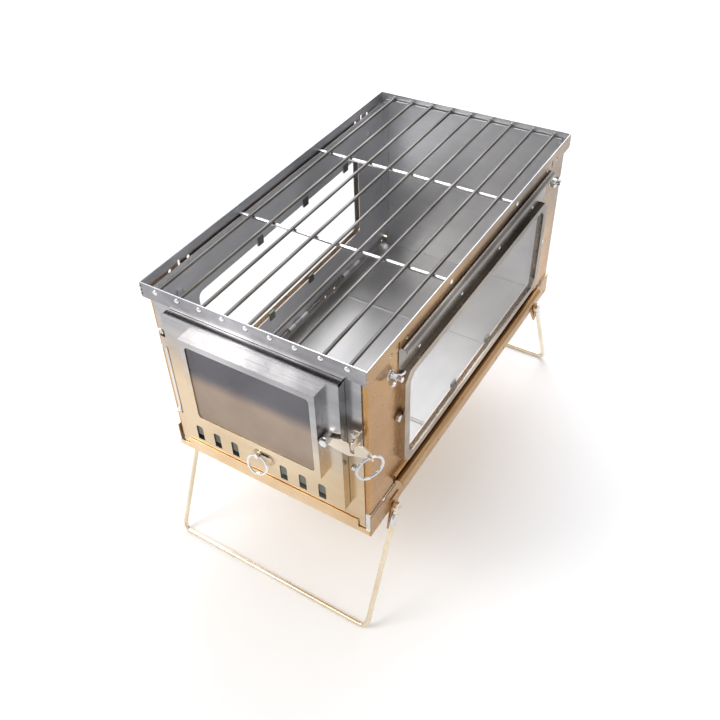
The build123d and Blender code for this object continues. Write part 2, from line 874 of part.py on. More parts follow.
# Door glass right behind the lip of its frame
glass_front = door_front + glass_frame_depth - door_sheet - swing
glass_back = glass_front - door_glass_thickness
glass_width = glass_frame_width - 2 * (door_sheet + door_glass_gap)
glass_height = glass_frame_height - 2 * (door_sheet + door_glass_gap)
with BuildPart() as door_glass:
    with BuildSketch(Plane.XZ.offset(glass_back)):
        with Locations(glass_centre):
            Rectangle(glass_width, glass_height)
    extrude(amount=door_glass_thickness)
door_glass.part.label = "door_glass"
export_step(door_glass.part, "parts/door_glass.step")

# Bent strips on the door press the glass forward at its top and bottom edges
clip_xs = [glass_frame_left + s * glass_frame_width for s in door_clip_places]
with BuildPart() as door_glass_clips:
    for hand in (-1, 1):
        edge = glass_centre[1] + hand * (glass_height / 2 - seat)
        with BuildSketch(*[Plane.YZ.offset(x) for x in clip_xs]):
            with Locations((-door_front, edge)):
                Rectangle(
                    door_clip_sheet,
                    door_clip_foot,
                    align=(Align.MAX, Align.MAX if hand > 0 else Align.MIN),
                )
                Rectangle(
                    glass_back - seat - door_front,
                    door_clip_sheet,
                    align=(Align.MAX, Align.MAX if hand > 0 else Align.MIN),
                )
            with Locations((-glass_back + seat, edge)):
                Rectangle(
                    door_clip_sheet,
                    door_clip_foot,
                    align=(Align.MIN, Align.MAX if hand > 0 else Align.MIN),
                )
        extrude(amount=door_clip_width / 2, both=True)
door_glass_clips.part.label = "door_glass_clips"
export_step(door_glass_clips.part, "parts/door_glass_clips.step")

# Ears on the front panel hold the hinge rod
ear_root = hinge_x + ear_radius
with BuildPart() as hinge_ears:
    with BuildSketch(
        lifted(tray_base + ear_low - ear_thickness / 2),
        lifted(tray_base + ear_high - ear_thickness / 2),
    ):
        with Locations((hinge_x, hinge_y)):
            Circle(ear_radius)
            Rectangle(
                2 * ear_radius, hinge_depth, align=(Align.CENTER, Align.MIN)
            )
            Circle(hinge_rod_radius + shaft, mode=Mode.SUBTRACT)
    extrude(amount=ear_thickness)
    with BuildSketch(Plane.XZ.offset(end_face)):
        with Locations(
            (ear_root, tray_base + ear_low),
            (ear_root, tray_base + ear_high),
        ):
            Rectangle(
                ear_base_width, ear_base_height, align=(Align.MAX, Align.CENTER)
            )
    extrude(amount=ear_base_sheet)
hinge_ears.part.label = "hinge_ears"
export_step(hinge_ears.part, "parts/hinge_ears.step")

# Rivets of the ears and of the catch
catch_x = latch_x + catch_offset
catch_low_z = latch_z + catch_low
catch_top_z = latch_z + catch_high
catch_plate_width = 11.0
catch_plate_low = latch_z - 5.0
rivet_spots = [
    (ear_root - ear_base_width + rivet_radius + 0.8, tray_base + ear_low - 6.0),
    (ear_root - ear_base_width + rivet_radius + 0.8, tray_base + ear_low + 6.0),
    (ear_root - ear_base_width + rivet_radius + 0.8, tray_base + ear_high - 6.0),
    (ear_root - ear_base_width + rivet_radius + 0.8, tray_base + ear_high + 6.0),
    (catch_x - catch_plate_width / 2, catch_plate_low + 3.2),
    (catch_x - catch_plate_width / 2, catch_top_z - 3.2),
]
with BuildPart() as front_rivets:
    with BuildSketch(Plane.XZ.offset(end_face + ear_base_sheet)):
        with Locations(*rivet_spots):
            RegularPolygon(rivet_radius, head_sides)
    extrude(amount=rivet_height, taper=20)
front_rivets.part.label = "front_rivets"
export_step(front_rivets.part, "parts/front_rivets.step")

# Hinge rod with its bent top
with BuildPart() as hinge_rod:
    with BuildLine():
        rod_path = FilletPolyline(
            (hinge_x, hinge_y, tray_base + hinge_rod_base),
            (hinge_x, hinge_y, tray_base + hinge_rod_top + 3.0),
            (hinge_x - 5.5, hinge_y, tray_base + hinge_rod_top + 3.0),
            radius=2.2,
        )
    with BuildSketch(Plane(origin=rod_path @ 0, z_dir=rod_path % 0)):
        RegularPolygon(hinge_rod_radius, bar_sides)
    sweep()
hinge_rod.part.label = "hinge_rod"
export_step(hinge_rod.part, "parts/hinge_rod.step")

# Catch on the front panel, a plate with a tongue bent out
with BuildPart() as catch_tongue:
    with BuildSketch(Plane.XZ.offset(end_face)):
        with Locations((catch_x + catch_sheet, catch_plate_low)):
            Rectangle(
                catch_plate_width,
                catch_top_z - catch_plate_low,
                align=(Align.MAX, Align.MIN),
            )
    extrude(amount=ear_base_sheet)
    with BuildSketch(Plane.YZ.offset(catch_x)) as tongue_outline:
        with Locations((-end_face, catch_low_z)):
            Rectangle(
                catch_reach,
                catch_top_z - catch_low_z,
                align=(Align.MAX, Align.MIN),
            )
        fillet(tongue_outline.vertices().sort_by(Axis.X)[:2], 2.5)
    extrude(amount=catch_sheet)
catch_tongue.part.label = "catch_tongue"
export_step(catch_tongue.part, "parts/catch_tongue.step")

# Stud below the catch
with BuildPart() as latch_stop:
    with BuildSketch(Plane.XZ.offset(end_face)):
        with Locations((latch_x + stop_offset, latch_z - stop_drop)):
            RegularPolygon(stop_radius, head_sides)
    extrude(amount=stop_height)
    chamfer(latch_stop.faces().sort_by(Axis.Y)[0].edges(), 0.6)
latch_stop.part.label = "latch_stop"
export_step(latch_stop.part, "parts/latch_stop.step")

# Shoulder bolt of the latch
spacer_top = door_front + latch_spacer
lever_back = spacer_top + seat
lever_front = lever_back + lever_sheet
washer_front = lever_front + seat
head_back = washer_front + 2 * latch_washer_thickness + seat
with BuildPart() as latch_bolt:
    with BuildSketch(Plane.XZ.offset(door_front - door_sheet - 1.2)):
        with Locations((latch_x, latch_z)):
            RegularPolygon(latch_head_radius, 6)
    extrude(amount=1.2)
    with BuildSketch(Plane.XZ.offset(door_front - door_sheet)):
        with Locations((latch_x, latch_z)):
            Circle(latch_bolt_radius)
    extrude(amount=head_back - door_front + door_sheet)
    with BuildSketch(Plane.XZ.offset(head_back)):
        with Locations((latch_x, latch_z)):
            RegularPolygon(latch_head_radius, 6)
    extrude(amount=latch_head_height)
    chamfer(latch_bolt.faces().sort_by(Axis.Y)[0].edges(), 0.4)
latch_bolt.part.label = "latch_bolt"
export_step(latch_bolt.part, "parts/latch_bolt.step")

# Spacer and washers on both sides of the lever
with BuildPart() as latch_washers:
    with BuildSketch(Plane.XZ.offset(door_front)):
        with Locations((latch_x, latch_z)):
            RegularPolygon(latch_washer_radius, 2 * head_sides)
            Circle(latch_bolt_radius + shaft, mode=Mode.SUBTRACT)
    extrude(amount=latch_spacer)
    with BuildSketch(Plane.XZ.offset(washer_front)):
        with Locations((latch_x, latch_z)):
            RegularPolygon(latch_washer_radius, 2 * head_sides)
            Circle(latch_bolt_radius + shaft, mode=Mode.SUBTRACT)
    extrude(amount=2 * latch_washer_thickness)
latch_washers.part.label = "latch_washers"
export_step(latch_washers.part, "parts/latch_washers.step")

# Latch lever, cut from sheet, with the notch that drops over the tongue
notch_end = notch_start + notch_width
with BuildPart() as latch_lever:
    with BuildSketch(
        Plane(origin=(latch_x, -lever_back, latch_z), x_dir=(1, 0, 0), z_dir=(0, -1, 0))
    ) as lever_outline:
        with BuildLine():
            Polyline(
                (0, -lever_neck),
                *[(u * lever_length, v * lever_length) for u, v in lever_underside],
                *[(u * lever_length, v * lever_length) for u, v in lever_tip],
                (notch_end, notch_right_rise * lever_length),
                (notch_end, notch_bottom),
                (notch_start, notch_bottom),
                (notch_start, notch_left_rise * lever_length),
                *[(u * lever_length, v * lever_length) for u, v in lever_hump],
                (0, lever_neck),
                close=True,
            )
        make_face()
        outline_points = lever_outline.vertices()
        fillet(
            outline_points.filter_by_position(Axis.X, lever_neck, 2 * lever_length),
            lever_sheet,
        )
        Circle(lever_neck)
        Circle(latch_bolt_radius + shaft, mode=Mode.SUBTRACT)
        with Locations((lever_hole_reach, lever_hole_rise)):
            Circle(lever_hole_radius, mode=Mode.SUBTRACT)
    extrude(amount=lever_sheet)
latch_lever.part.label = "latch_lever"
export_step(latch_lever.part, "parts/latch_lever.step")

# Split ring that hangs in the end of the lever
latch_hole_x = latch_x + lever_hole_reach
latch_hole_z = latch_z + lever_hole_rise
lever_middle = lever_back + lever_sheet / 2
ring_drop = lever_hole_radius - ring_wire_radius - 2 * seat
yaw = radians(latch_ring_yaw)
with BuildPart() as latch_ring:
    with BuildSketch(
        Plane(
            origin=(
                latch_hole_x,
                -lever_middle,
                latch_hole_z - ring_drop - latch_ring_radius,
            ),
            x_dir=(0, 0, 1),
            z_dir=(cos(yaw), sin(yaw), 0),
        )
    ):
        with Locations((latch_ring_radius, 0)):
            RegularPolygon(ring_wire_radius, 6)
    revolve(
        axis=Axis(
            (latch_hole_x, -lever_middle, latch_hole_z - ring_drop - latch_ring_radius),
            (sin(yaw), -cos(yaw), 0),
        )
    )
latch_ring.part.label = "latch_ring"
export_step(latch_ring.part, "parts/latch_ring.step")

# Air slider behind the slots, a comb of sheet
slider_face = door_front - door_sheet - swing
with BuildPart() as air_slider:
    with BuildSketch(Plane.XZ.offset(slider_face - slider_sheet)):
        with Locations((slot_centre - slider_travel / 2 + slider_lead, slider_bottom)):
            Rectangle(
                slider_length, slider_height, align=(Align.CENTER, Align.MIN)
            )
        with Locations(*[(x - slider_travel, slider_bottom) for x in slot_spots]):
            Rectangle(
                slot_width,
                2 * window_rise,
                align=(Align.CENTER, Align.CENTER),
                mode=Mode.SUBTRACT,
            )
    extrude(amount=slider_sheet)
air_slider.part.label = "air_slider"
export_step(air_slider.part, "parts/air_slider.step")

# Post of the slider, drilled across for its ring
post_base = door_front + swing
with BuildPart() as slider_post:
    with BuildSketch(Plane.XZ.offset(slider_face)):
        with Locations((post_place, post_height)):
            RegularPolygon(post_neck_radius, head_sides)
    extrude(amount=post_base - slider_face)
    with BuildSketch(Plane.XZ.offset(post_base)):
        with Locations((post_place, post_height)):
            RegularPolygon(post_radius, head_sides)
    extrude(amount=post_length)
    chamfer(slider_post.faces().sort_by(Axis.Y)[0].edges(), 0.5)
    with BuildSketch(Plane.YZ.offset(post_place - post_radius)):
        with Locations((-post_base - post_length / 2, post_height)):
            Circle(post_hole_radius)
    extrude(amount=2 * post_radius, mode=Mode.SUBTRACT)
slider_post.part.label = "slider_post"
export_step(slider_post.part, "parts/slider_post.step")

# Ring in the post, its bottom standing out from the door
tilt = radians(pull_ring_tilt)
post_hole_y = -post_base - post_length / 2
pull_drop = pull_ring_radius + 0.15
pull_ring_centre = (
    post_place,
    post_hole_y - pull_drop * sin(tilt),
    post_height - pull_drop * cos(tilt),
)
with BuildPart() as pull_ring:
    with BuildSketch(
        Plane(
            origin=pull_ring_centre, x_dir=(0, sin(tilt), cos(tilt)), z_dir=(1, 0, 0)
        )
    ):
        with Locations((pull_ring_radius, 0)):
            RegularPolygon(ring_wire_radius, 6)
    revolve(axis=Axis(pull_ring_centre, (0, cos(tilt), -sin(tilt))))
pull_ring.part.label = "pull_ring"
export_step(pull_ring.part, "parts/pull_ring.step")

# Straps behind the door that the slider runs in
strap_back = slider_face - slider_sheet - swing
slider_top = slider_bottom + slider_height
with BuildPart() as slider_guides:
    for hand in (-1, 1):
        guide_x = post_place + slider_travel / 2 + hand * guide_half_pitch
        with BuildSketch(Plane.YZ.offset(guide_x - guide_width / 2)):
            with Locations((-strap_back, (slider_bottom + slider_top) / 2)):
                Rectangle(
                    guide_sheet,
                    slider_height + 2 * (swing + guide_sheet),
                    align=(Align.MIN, Align.CENTER),
                )
            with Locations((-door_front + door_sheet, slider_top + swing)):
                Rectangle(
                    door_front - door_sheet - strap_back + guide_sheet,
                    guide_sheet,
                    align=(Align.MIN, Align.MIN),
                )
            with Locations((-door_front + door_sheet, slider_bottom - swing)):
                Rectangle(
                    door_front - door_sheet - strap_back + guide_sheet,
                    guide_sheet,
                    align=(Align.MIN, Align.MAX),
                )
        extrude(amount=guide_width)
slider_guides.part.label = "slider_guides"
export_step(slider_guides.part, "parts/slider_guides.step")

# Grate band, four strips pegged together at the corners
peg_heights = [
    band_base + band_height / 2 + (i - (peg_count - 1) / 2) * peg_pitch
    for i in range(peg_count)
]
rod_xs = [(i - (rod_count - 1) / 2) * rod_pitch for i in range(rod_count)]
with BuildPart() as front_band:
    with BuildSketch(Plane.XZ.offset(band_y - band_sheet)):
        with Locations((0, band_base)):
            Rectangle(2 * band_x, band_height, align=(Align.CENTER, Align.MIN))
        with Locations(*[(x, rod_height) for x in rod_xs]):
            RegularPolygon(rod_radius + shaft, bar_sides, mode=Mode.SUBTRACT)
        with Locations(
            *[
                (hand * (band_x - band_sheet / 2), z)
                for hand in (-1, 1)
                for z in peg_heights
            ]
        ):
            Rectangle(
                band_sheet + 2 * shaft, peg_height + 2 * shaft, mode=Mode.SUBTRACT
            )
    extrude(amount=band_sheet)
front_band.part.label = "front_band"
export_step(front_band.part, "parts/front_band.step")

with BuildPart() as rear_band:
    mirror(front_band.part, about=Plane.XZ)
rear_band.part.label = "rear_band"
export_step(rear_band.part, "parts/rear_band.step")

side_band_end = band_y - band_sheet - seat
cross_rod_spots = [
    (-cross_rod_place, cross_rod_height),
    (cross_rod_place, cross_rod_height),
]
with BuildPart() as right_band:
    with BuildSketch(Plane.YZ.offset(band_x - band_sheet)):
        with Locations((0, band_base)):
            Rectangle(2 * side_band_end, band_height, align=(Align.CENTER, Align.MIN))
        with Locations(*[(0, z) for z in peg_heights]):
            Rectangle(2 * (band_y + peen_height), peg_height)
        with Locations(*cross_rod_spots):
            RegularPolygon(cross_rod_radius + shaft, bar_sides, mode=Mode.SUBTRACT)
        with Locations(
            (-hook_place, top_of_grate - hook_drop),
            (hook_place, top_of_grate - hook_drop),
        ):
            SlotOverall(
                hook_slot_height, hook_slot_width, rotation=90, mode=Mode.SUBTRACT
            )
            with Locations((-hook_pitch, 0), (hook_pitch, 0)):
                Circle(hook_hole_radius, mode=Mode.SUBTRACT)
    extrude(amount=band_sheet)
right_band.part.label = "right_band"
export_step(right_band.part, "parts/right_band.step")

with BuildPart() as left_band:
    mirror(right_band.part, about=Plane.YZ)
left_band.part.label = "left_band"
export_step(left_band.part, "parts/left_band.step")

# Long rods with peened ends on the outside of the bands
with BuildPart() as long_rods:
    with BuildSketch(Plane.XZ):
        with Locations(*[(x, rod_height) for x in rod_xs]):
            RegularPolygon(rod_radius, bar_sides)
    extrude(amount=band_y, both=True)
    with BuildSketch(Plane.XZ.offset(band_y), Plane.XZ.offset(-band_y - peen_height)):
        with Locations(*[(x, rod_height) for x in rod_xs]):
            RegularPolygon(peen_radius, bar_sides)
    extrude(amount=peen_height)
long_rods.part.label = "long_rods"
export_step(long_rods.part, "parts/long_rods.step")

# Cross rods under the long ones
with BuildPart() as cross_rods:
    with BuildSketch(Plane.YZ):
        with Locations(*cross_rod_spots):
            RegularPolygon(cross_rod_radius, bar_sides)
    extrude(amount=band_x, both=True)
    with BuildSketch(Plane.YZ.offset(band_x), Plane.YZ.offset(-band_x - peen_height)):
        with Locations(*cross_rod_spots):
            RegularPolygon(peen_radius, bar_sides)
    extrude(amount=peen_height)
cross_rods.part.label = "cross_rods"
export_step(cross_rods.part, "parts/cross_rods.step")

# Wire legs, each one bent wire with an eye at both ends
leg_x = tray_half_width + leg_offset
pivot_z = tray_base + leg_pivot_height
foot_y = leg_pivot_place + leg_spread
leg_length = sqrt(leg_spread**2 + (pivot_z - wire_radius) ** 2)
leg_lean = (leg_spread / leg_length, (pivot_z - wire_radius) / leg_length)
eye_half = wire_radius + 0.2
with BuildPart() as front_leg:
    with BuildLine():
        leg_path = FilletPolyline(
            (leg_x, -leg_pivot_place, pivot_z),
            (leg_x, -foot_y, wire_radius),
            (-leg_x, -foot_y, wire_radius),
            (-leg_x, -leg_pivot_place, pivot_z),
            radius=leg_bend,
        )
    with BuildSketch(Plane(origin=leg_path @ 0, z_dir=leg_path % 0)):
        RegularPolygon(wire_radius, head_sides)
    sweep()
    with BuildSketch(
        Plane.YZ.offset(leg_x - eye_half), Plane.YZ.offset(-leg_x - eye_half)
    ):
        with Locations((-leg_pivot_place, pivot_z)):
            RegularPolygon(eye_radius, 2 * head_sides)
    extrude(amount=2 * eye_half)
    with BuildSketch(Plane.YZ):
        with Locations((-leg_pivot_place, pivot_z)):
            Circle(pivot_pin_radius + shaft)
    extrude(amount=2 * leg_x, both=True, mode=Mode.SUBTRACT)
front_leg.part.label = "front_leg"
export_step(front_leg.part, "parts/front_leg.step")

with BuildPart() as rear_leg:
    mirror(front_leg.part, about=Plane.XZ)
rear_leg.part.label = "rear_leg"
export_step(rear_leg.part, "parts/rear_leg.step")

# Sleeves on the ends of the leg wire
with BuildPart() as front_ferrules:
    for hand in (-1, 1):
        with BuildSketch(
            Plane(
                origin=(
                    hand * leg_x,
                    -leg_pivot_place - ferrule_start * leg_lean[0],
                    pivot_z - ferrule_start * leg_lean[1],
                ),
                x_dir=(1, 0, 0),
                z_dir=(0, -leg_lean[0], -leg_lean[1]),
            )
        ):
            RegularPolygon(
                wire_radius + shaft + ferrule_wall, head_sides, major_radius=False
            )
            RegularPolygon(
                wire_radius + shaft,
                head_sides,
                major_radius=False,
                mode=Mode.SUBTRACT,
            )
        extrude(amount=ferrule_length)
front_ferrules.part.label = "front_ferrules"
export_step(front_ferrules.part, "parts/front_ferrules.step")

with BuildPart() as rear_ferrules:
    mirror(front_ferrules.part, about=Plane.XZ)
rear_ferrules.part.label = "rear_ferrules"
export_step(rear_ferrules.part, "parts/rear_ferrules.step")

# Brackets behind the leg ends, a tapered cheek against the side lip
tip_y = leg_pivot_place + bracket_reach * leg_lean[0] - bracket_shift
tip_z = pivot_z - bracket_reach * leg_lean[1]
with BuildPart() as leg_brackets:
    with BuildSketch(Plane.YZ.offset(tray_half_width)) as cheek:
        with Locations((bracket_shift - leg_pivot_place, tray_base + bracket_top)):
            Rectangle(
                bracket_length, bracket_height, align=(Align.CENTER, Align.MAX)
            )
        with Locations((-tip_y, tip_z)):
            RegularPolygon(bracket_tip_radius, 2 * head_sides)
        make_hull()
        with Locations((-leg_pivot_place, pivot_z)):
            Circle(pivot_pin_radius + shaft, mode=Mode.SUBTRACT)
    extrude(amount=bracket_sheet)
    mirror(about=Plane.XZ)
    mirror(about=Plane.YZ)
leg_brackets.part.label = "leg_brackets"
export_step(leg_brackets.part, "parts/leg_brackets.step")

# Pins that the legs turn on, headed inside and outside
pin_spots = [(-leg_pivot_place, pivot_z), (leg_pivot_place, pivot_z)]
pin_start = tray_half_width - tray_sheet
pin_end = leg_x + eye_half + seat
with BuildPart() as leg_pivot_pins:
    with BuildSketch(Plane.YZ.offset(pin_start - pivot_head_height)):
        with Locations(*pin_spots):
            RegularPolygon(pivot_head_radius, head_sides)
    extrude(amount=pivot_head_height)
    with BuildSketch(Plane.YZ.offset(pin_start)):
        with Locations(*pin_spots):
            Circle(pivot_pin_radius)
    extrude(amount=pin_end - pin_start)
    with BuildSketch(Plane.YZ.offset(pin_end)):
        with Locations(*pin_spots):
            RegularPolygon(pivot_head_radius, head_sides)
    extrude(amount=pivot_head_height, taper=15)
    mirror(about=Plane.YZ)
leg_pivot_pins.part.label = "leg_pivot_pins"
export_step(leg_pivot_pins.part, "parts/leg_pivot_pins.step")
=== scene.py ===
from math import cos, pi, radians, sin, tan

import bmesh
import bpy
from mathutils import Matrix, Vector


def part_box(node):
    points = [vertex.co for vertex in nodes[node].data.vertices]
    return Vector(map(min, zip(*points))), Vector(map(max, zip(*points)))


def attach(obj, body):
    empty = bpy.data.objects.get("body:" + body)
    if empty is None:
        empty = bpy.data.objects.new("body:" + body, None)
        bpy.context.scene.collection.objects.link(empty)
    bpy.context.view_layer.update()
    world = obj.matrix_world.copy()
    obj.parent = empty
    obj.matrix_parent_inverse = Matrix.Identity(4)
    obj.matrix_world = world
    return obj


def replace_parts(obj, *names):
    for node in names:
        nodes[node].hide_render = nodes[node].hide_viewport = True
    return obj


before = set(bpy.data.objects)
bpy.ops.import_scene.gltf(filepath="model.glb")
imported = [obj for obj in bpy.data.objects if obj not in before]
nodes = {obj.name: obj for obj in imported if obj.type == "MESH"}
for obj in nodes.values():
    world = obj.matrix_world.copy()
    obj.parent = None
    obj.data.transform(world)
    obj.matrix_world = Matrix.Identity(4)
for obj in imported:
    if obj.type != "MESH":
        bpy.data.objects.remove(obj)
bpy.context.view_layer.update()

# Sizes of the surface patterns, in millimetres
wave_pitch = 70
blot_pitch = 14
smear_pitch = 45
# Dressed edge of every sheet, and depth of the slow waves and of the rolling lines, in metres
edge_radius = 0.0003
wave_depth = 0.004
line_depth = 0.0004
# A face is an outer one if it points away from the middle by more than the first. The second draws floors inside
outer_limit = 0.002
floor_pull = 0.04
# Roughness of the side turned to the fire, and of the cleanest glass
fire_roughness = 0.42
glass_roughness = 0.02


def linear(hex_colour):
    """An sRGB hex colour as the linear colour that the shaders take."""
    channels = [int(hex_colour[i : i + 2], 16) / 255 for i in (1, 3, 5)]
    return [c / 12.92 if c <= 0.04045 else ((c + 0.055) / 1.055) ** 2.4 for c in channels] + [1.0]


def add(tree, kind, settings=None, links=None):
    """Adds one node: settings go on its properties or sockets, links bring earlier outputs in."""
    node = tree.nodes.new(kind)
    for key, value in (settings or {}).items():
        if isinstance(key, int) or key in node.inputs:
            node.inputs[key].default_value = value
        else:
            setattr(node, key, value)
    for key, output in (links or {}).items():
        tree.links.new(output, node.inputs[key])
    return node


def ramp(tree, factor, stops):
    """A colour ramp of (place, hex colour) stops."""
    node = add(tree, "ShaderNodeValToRGB", links={0: factor})
    elements = node.color_ramp.elements
    elements[0].position, elements[0].color = stops[0][0], linear(stops[0][1])
    elements[1].position, elements[1].color = stops[-1][0], linear(stops[-1][1])
    for place, colour in stops[1:-1]:
        elements.new(place).color = linear(colour)
    return node.outputs["Color"]


def metal(name, stops, grain, roughness, bump=0.08, wave=0.1, inside=None, skin=None, drift=None):
    """Rolled or drawn metal.

    stops are its colours from dull to bright. grain is the pitch of its lines along x, y and z in
    millimetres, longest along the rolling direction. roughness is its least and most. inside gives the
    colours of the faces turned to the fire, painted lighter or darker than the outer ones as painted light
    and painted shade, and skin how far out in x, y and z the fire side ends. drift is a direction, a start
    and an end along it, and the colours that it turns to, which paint reflection and shade that change along it.
    """
    material = bpy.data.materials.new(name)
    material.use_nodes = True
    tree = material.node_tree
    tree.nodes.clear()
    place = add(tree, "ShaderNodeTexCoord").outputs
    # Rolling lines: noise drawn out along the sheet
    lines = add(
        tree,
        "ShaderNodeMapping",
        {"Scale": [1000 / pitch for pitch in grain]},
        {"Vector": place["Object"]},
    ).outputs[0]
    streaks = add(
        tree, "ShaderNodeTexNoise", {"Scale": 1.0, "Detail": 3.0, "Roughness": 0.55}, {"Vector": lines}
    ).outputs["Fac"]
    # Slow waves of a thin sheet that is not quite flat
    waves = add(
        tree,
        "ShaderNodeTexNoise",
        {"Scale": 1000 / wave_pitch, "Detail": 1.0, "Roughness": 0.4},
        {"Vector": place["Object"]},
    ).outputs["Fac"]
    # Handling marks, soft blots
    blots = add(
        tree,
        "ShaderNodeTexNoise",
        {"Scale": 1000 / blot_pitch, "Detail": 4.0, "Roughness": 0.6},
        {"Vector": place["Object"]},
    ).outputs["Fac"]
    shade = add(tree, "ShaderNodeMix", {"data_type": "FLOAT", "Factor": 0.7}, {2: streaks, 3: waves}).outputs[0]
    colour = ramp(tree, shade, stops)
    # Painted reflection and shade, changing along one direction
    if drift:
        along = add(
            tree, "ShaderNodeVectorMath", {"operation": "DOT_PRODUCT", 1: drift[0]}, {0: place["Object"]}
        ).outputs["Value"]
        level = add(
            tree,
            "ShaderNodeMapRange",
            {"From Min": drift[1], "From Max": drift[2], "interpolation_type": "SMOOTHSTEP"},
            {"Value": along},
        ).outputs[0]
        colour = add(
            tree,
            "ShaderNodeMix",
            {"data_type": "RGBA"},
            {"Factor": level, 6: colour, 7: ramp(tree, shade, drift[3])},
        ).outputs[2]
    if inside:
        # A face turned to the middle of the stove, or up from its floor, is an inside one
        outward = add(
            tree,
            "ShaderNodeMapping",
            {"Scale": (1, 1, 0), "Location": (0, 0, -floor_pull)},
            {"Vector": place["Object"]},
        ).outputs[0]
        facing = add(
            tree, "ShaderNodeVectorMath", {"operation": "DOT_PRODUCT"}, {0: outward, 1: place["Normal"]}
        ).outputs["Value"]
        outer = add(tree, "ShaderNodeMath", {"operation": "GREATER_THAN", 1: outer_limit}, {0: facing}).outputs[0]
        if skin:
            # Lips outside the walls have the outer tint on every face
            reach = add(tree, "ShaderNodeVectorMath", {"operation": "ABSOLUTE"}, {0: place["Object"]}).outputs[0]
            beyond = add(tree, "ShaderNodeSeparateXYZ", links={0: reach}).outputs
            for way, limit in zip("XYZ", skin):
                lip = add(tree, "ShaderNodeMath", {"operation": "GREATER_THAN", 1: limit}, {0: beyond[way]}).outputs[0]
                outer = add(tree, "ShaderNodeMath", {"operation": "MAXIMUM"}, {0: outer, 1: lip}).outputs[0]
        # Inside faces take their own colours, painted light and painted shade
        colour = add(
            tree,
            "ShaderNodeMix",
            {"data_type": "RGBA"},
            {"Factor": outer, 6: ramp(tree, shade, inside), 7: colour},
        ).outputs[2]
    polish = add(
        tree,
        "ShaderNodeMapRange",
        {"To Min": roughness[0], "To Max": roughness[1], "From Min": 0.3, "From Max": 0.7},
        {"Value": blots},
    ).outputs[0]
    if inside:
        # The fire side is dulled by heat and ash to one soft, even sheen
        polish = add(
            tree, "ShaderNodeMix", {"data_type": "FLOAT", 2: fire_roughness}, {"Factor": outer, 3: polish}
        ).outputs[0]
    # Sheared edges are dressed, which catches a line of light
    edge = add(tree, "ShaderNodeBevel", {"samples": 4, "Radius": edge_radius}).outputs[0]
    slow = add(
        tree, "ShaderNodeBump", {"Strength": wave, "Distance": wave_depth}, {"Height": waves, "Normal": edge}
    ).outputs[0]
    relief = add(
        tree, "ShaderNodeBump", {"Strength": bump, "Distance": line_depth}, {"Height": streaks, "Normal": slow}
    ).outputs[0]
    shader = add(
        tree,
        "ShaderNodeBsdfPrincipled",
        {"Metallic": 1.0},
        {"Base Color": colour, "Roughness": polish, "Normal": relief},
    )
    add(tree, "ShaderNodeOutputMaterial", links={"Surface": shader.outputs[0]})
    return material


def glass(name, tint, veil, haze, soot=None):
    """Heat-proof window glass.

    veil is how much of it the eye catches, and haze the finger marks and smoke film on it. The last is a
    lower level, an upper level and the darker tint painted above them as shade.
    """
    material = bpy.data.materials.new(name)
    material.use_nodes = True
    tree = material.node_tree
    tree.nodes.clear()
    place = add(tree, "ShaderNodeTexCoord").outputs["Object"]
    smears = add(
        tree, "ShaderNodeTexNoise", {"Scale": 1000 / smear_pitch, "Detail": 2.0, "Roughness": 0.5}, {"Vector": place}
    ).outputs["Fac"]
    film = add(
        tree,
        "ShaderNodeMapRange",
        {"To Min": glass_roughness, "To Max": glass_roughness + haze, "From Min": 0.35, "From Max": 0.75},
        {"Value": smears},
    ).outputs[0]
    colour = ramp(tree, smears, tint)
    # Darker above a level: painted shade
    if soot:
        rise = add(tree, "ShaderNodeSeparateXYZ", links={0: place}).outputs["Z"]
        level = add(
            tree,
            "ShaderNodeMapRange",
            {"From Min": soot[0], "From Max": soot[1], "interpolation_type": "SMOOTHSTEP"},
            {"Value": rise},
        ).outputs[0]
        colour = add(
            tree, "ShaderNodeMix", {"data_type": "RGBA"}, {"Factor": level, 6: colour, 7: ramp(tree, smears, soot[2])}
        ).outputs[2]
    shader = add(
        tree,
        "ShaderNodeBsdfPrincipled",
        {"IOR": 1.5, "Alpha": veil, "Specular IOR Level": 0.4},
        {"Base Color": colour, "Roughness": film},
    )
    add(tree, "ShaderNodeOutputMaterial", links={"Surface": shader.outputs[0]})
    return material


# Outer titanium sheet of the ends, cold rolled and polished: golden low down and silver near the grate, both a painted
# reflection, and light grey inside as painted light
front_gold = [(0.3, "#C8B090"), (0.5, "#D2BC9C"), (0.7, "#DCC9AE")]
front_silver = ((0.25, 0, 1), 0.21, 0.3, [(0.3, "#8F8F92"), (0.5, "#AEAEB0"), (0.7, "#CFCFD0")])
side_shade = [(0.3, "#5C4B3A"), (0.5, "#7A654E"), (0.7, "#97805F")]
golden_front = metal(
    "polished_titanium_front",
    front_gold,
    (60, 3, 12),
    (0.2, 0.28),
    bump=0.01,
    wave=0.06,
    inside=[(0.3, "#D2D3D6"), (0.5, "#DEDFE2"), (0.7, "#EAEBEE")],
    drift=front_silver,
)
# Door sheet, the same outside, and near black inside as painted shade
golden_door = metal(
    "polished_titanium_door",
    front_gold,
    (60, 3, 12),
    (0.2, 0.28),
    bump=0.01,
    wave=0.06,
    inside=[(0.3, "#34332F"), (0.5, "#43423D"), (0.7, "#55544E")],
    skin=(1, 0.2184, 0.31),
    drift=front_silver,
)
# Side sheet, the same metal seen at a duller slant, coloured darker than the ends as painted shade: golden brown in
# front, darker up at the rear as more painted shade, and light grey inside as painted light
golden_side = metal(
    "polished_titanium_side",
    [(0.3, "#AF8659"), (0.5, "#BA9264"), (0.7, "#C59F72")],
    (12, 60, 12),
    (0.24, 0.32),
    bump=0.01,
    wave=0.05,
    inside=[(0.3, "#C9CACD"), (0.5, "#D6D7DA"), (0.7, "#E3E4E7")],
    skin=(0.1125, 0.2085, 1),
    drift=((0, 0.6, 0.8), 0.24, 0.35, side_shade),
)
